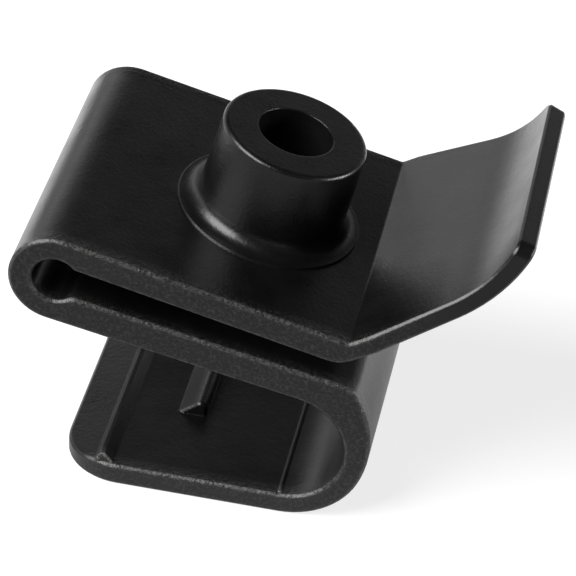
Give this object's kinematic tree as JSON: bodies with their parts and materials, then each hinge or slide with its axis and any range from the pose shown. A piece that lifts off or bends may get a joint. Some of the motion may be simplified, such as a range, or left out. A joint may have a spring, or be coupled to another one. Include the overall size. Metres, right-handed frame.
{
  "type": "u clip speed nut",
  "caption": "One-piece plastic U-clip nut: a screw boss over a panel slot with a flared lead-in lip, on a spring loop whose lower leg has a locking wedge.",
  "frame": {"origin": "the point where the screw's axis meets the plane of the lower leg's underside", "axes": "+Z out of the lower leg towards the boss, +X from the free end of the lower leg towards its loop, +Y across the width; the screw's axis leans 12.5 degrees from +Z towards +X"},
  "size_m": [0.0272, 0.0184, 0.0193],
  "materials": {
    "nylon": "satin black moulded nylon with a fine grain"
  },
  "bodies": {
    "root": {"clip_nut": "nylon"}
  },
  "joints": []
}
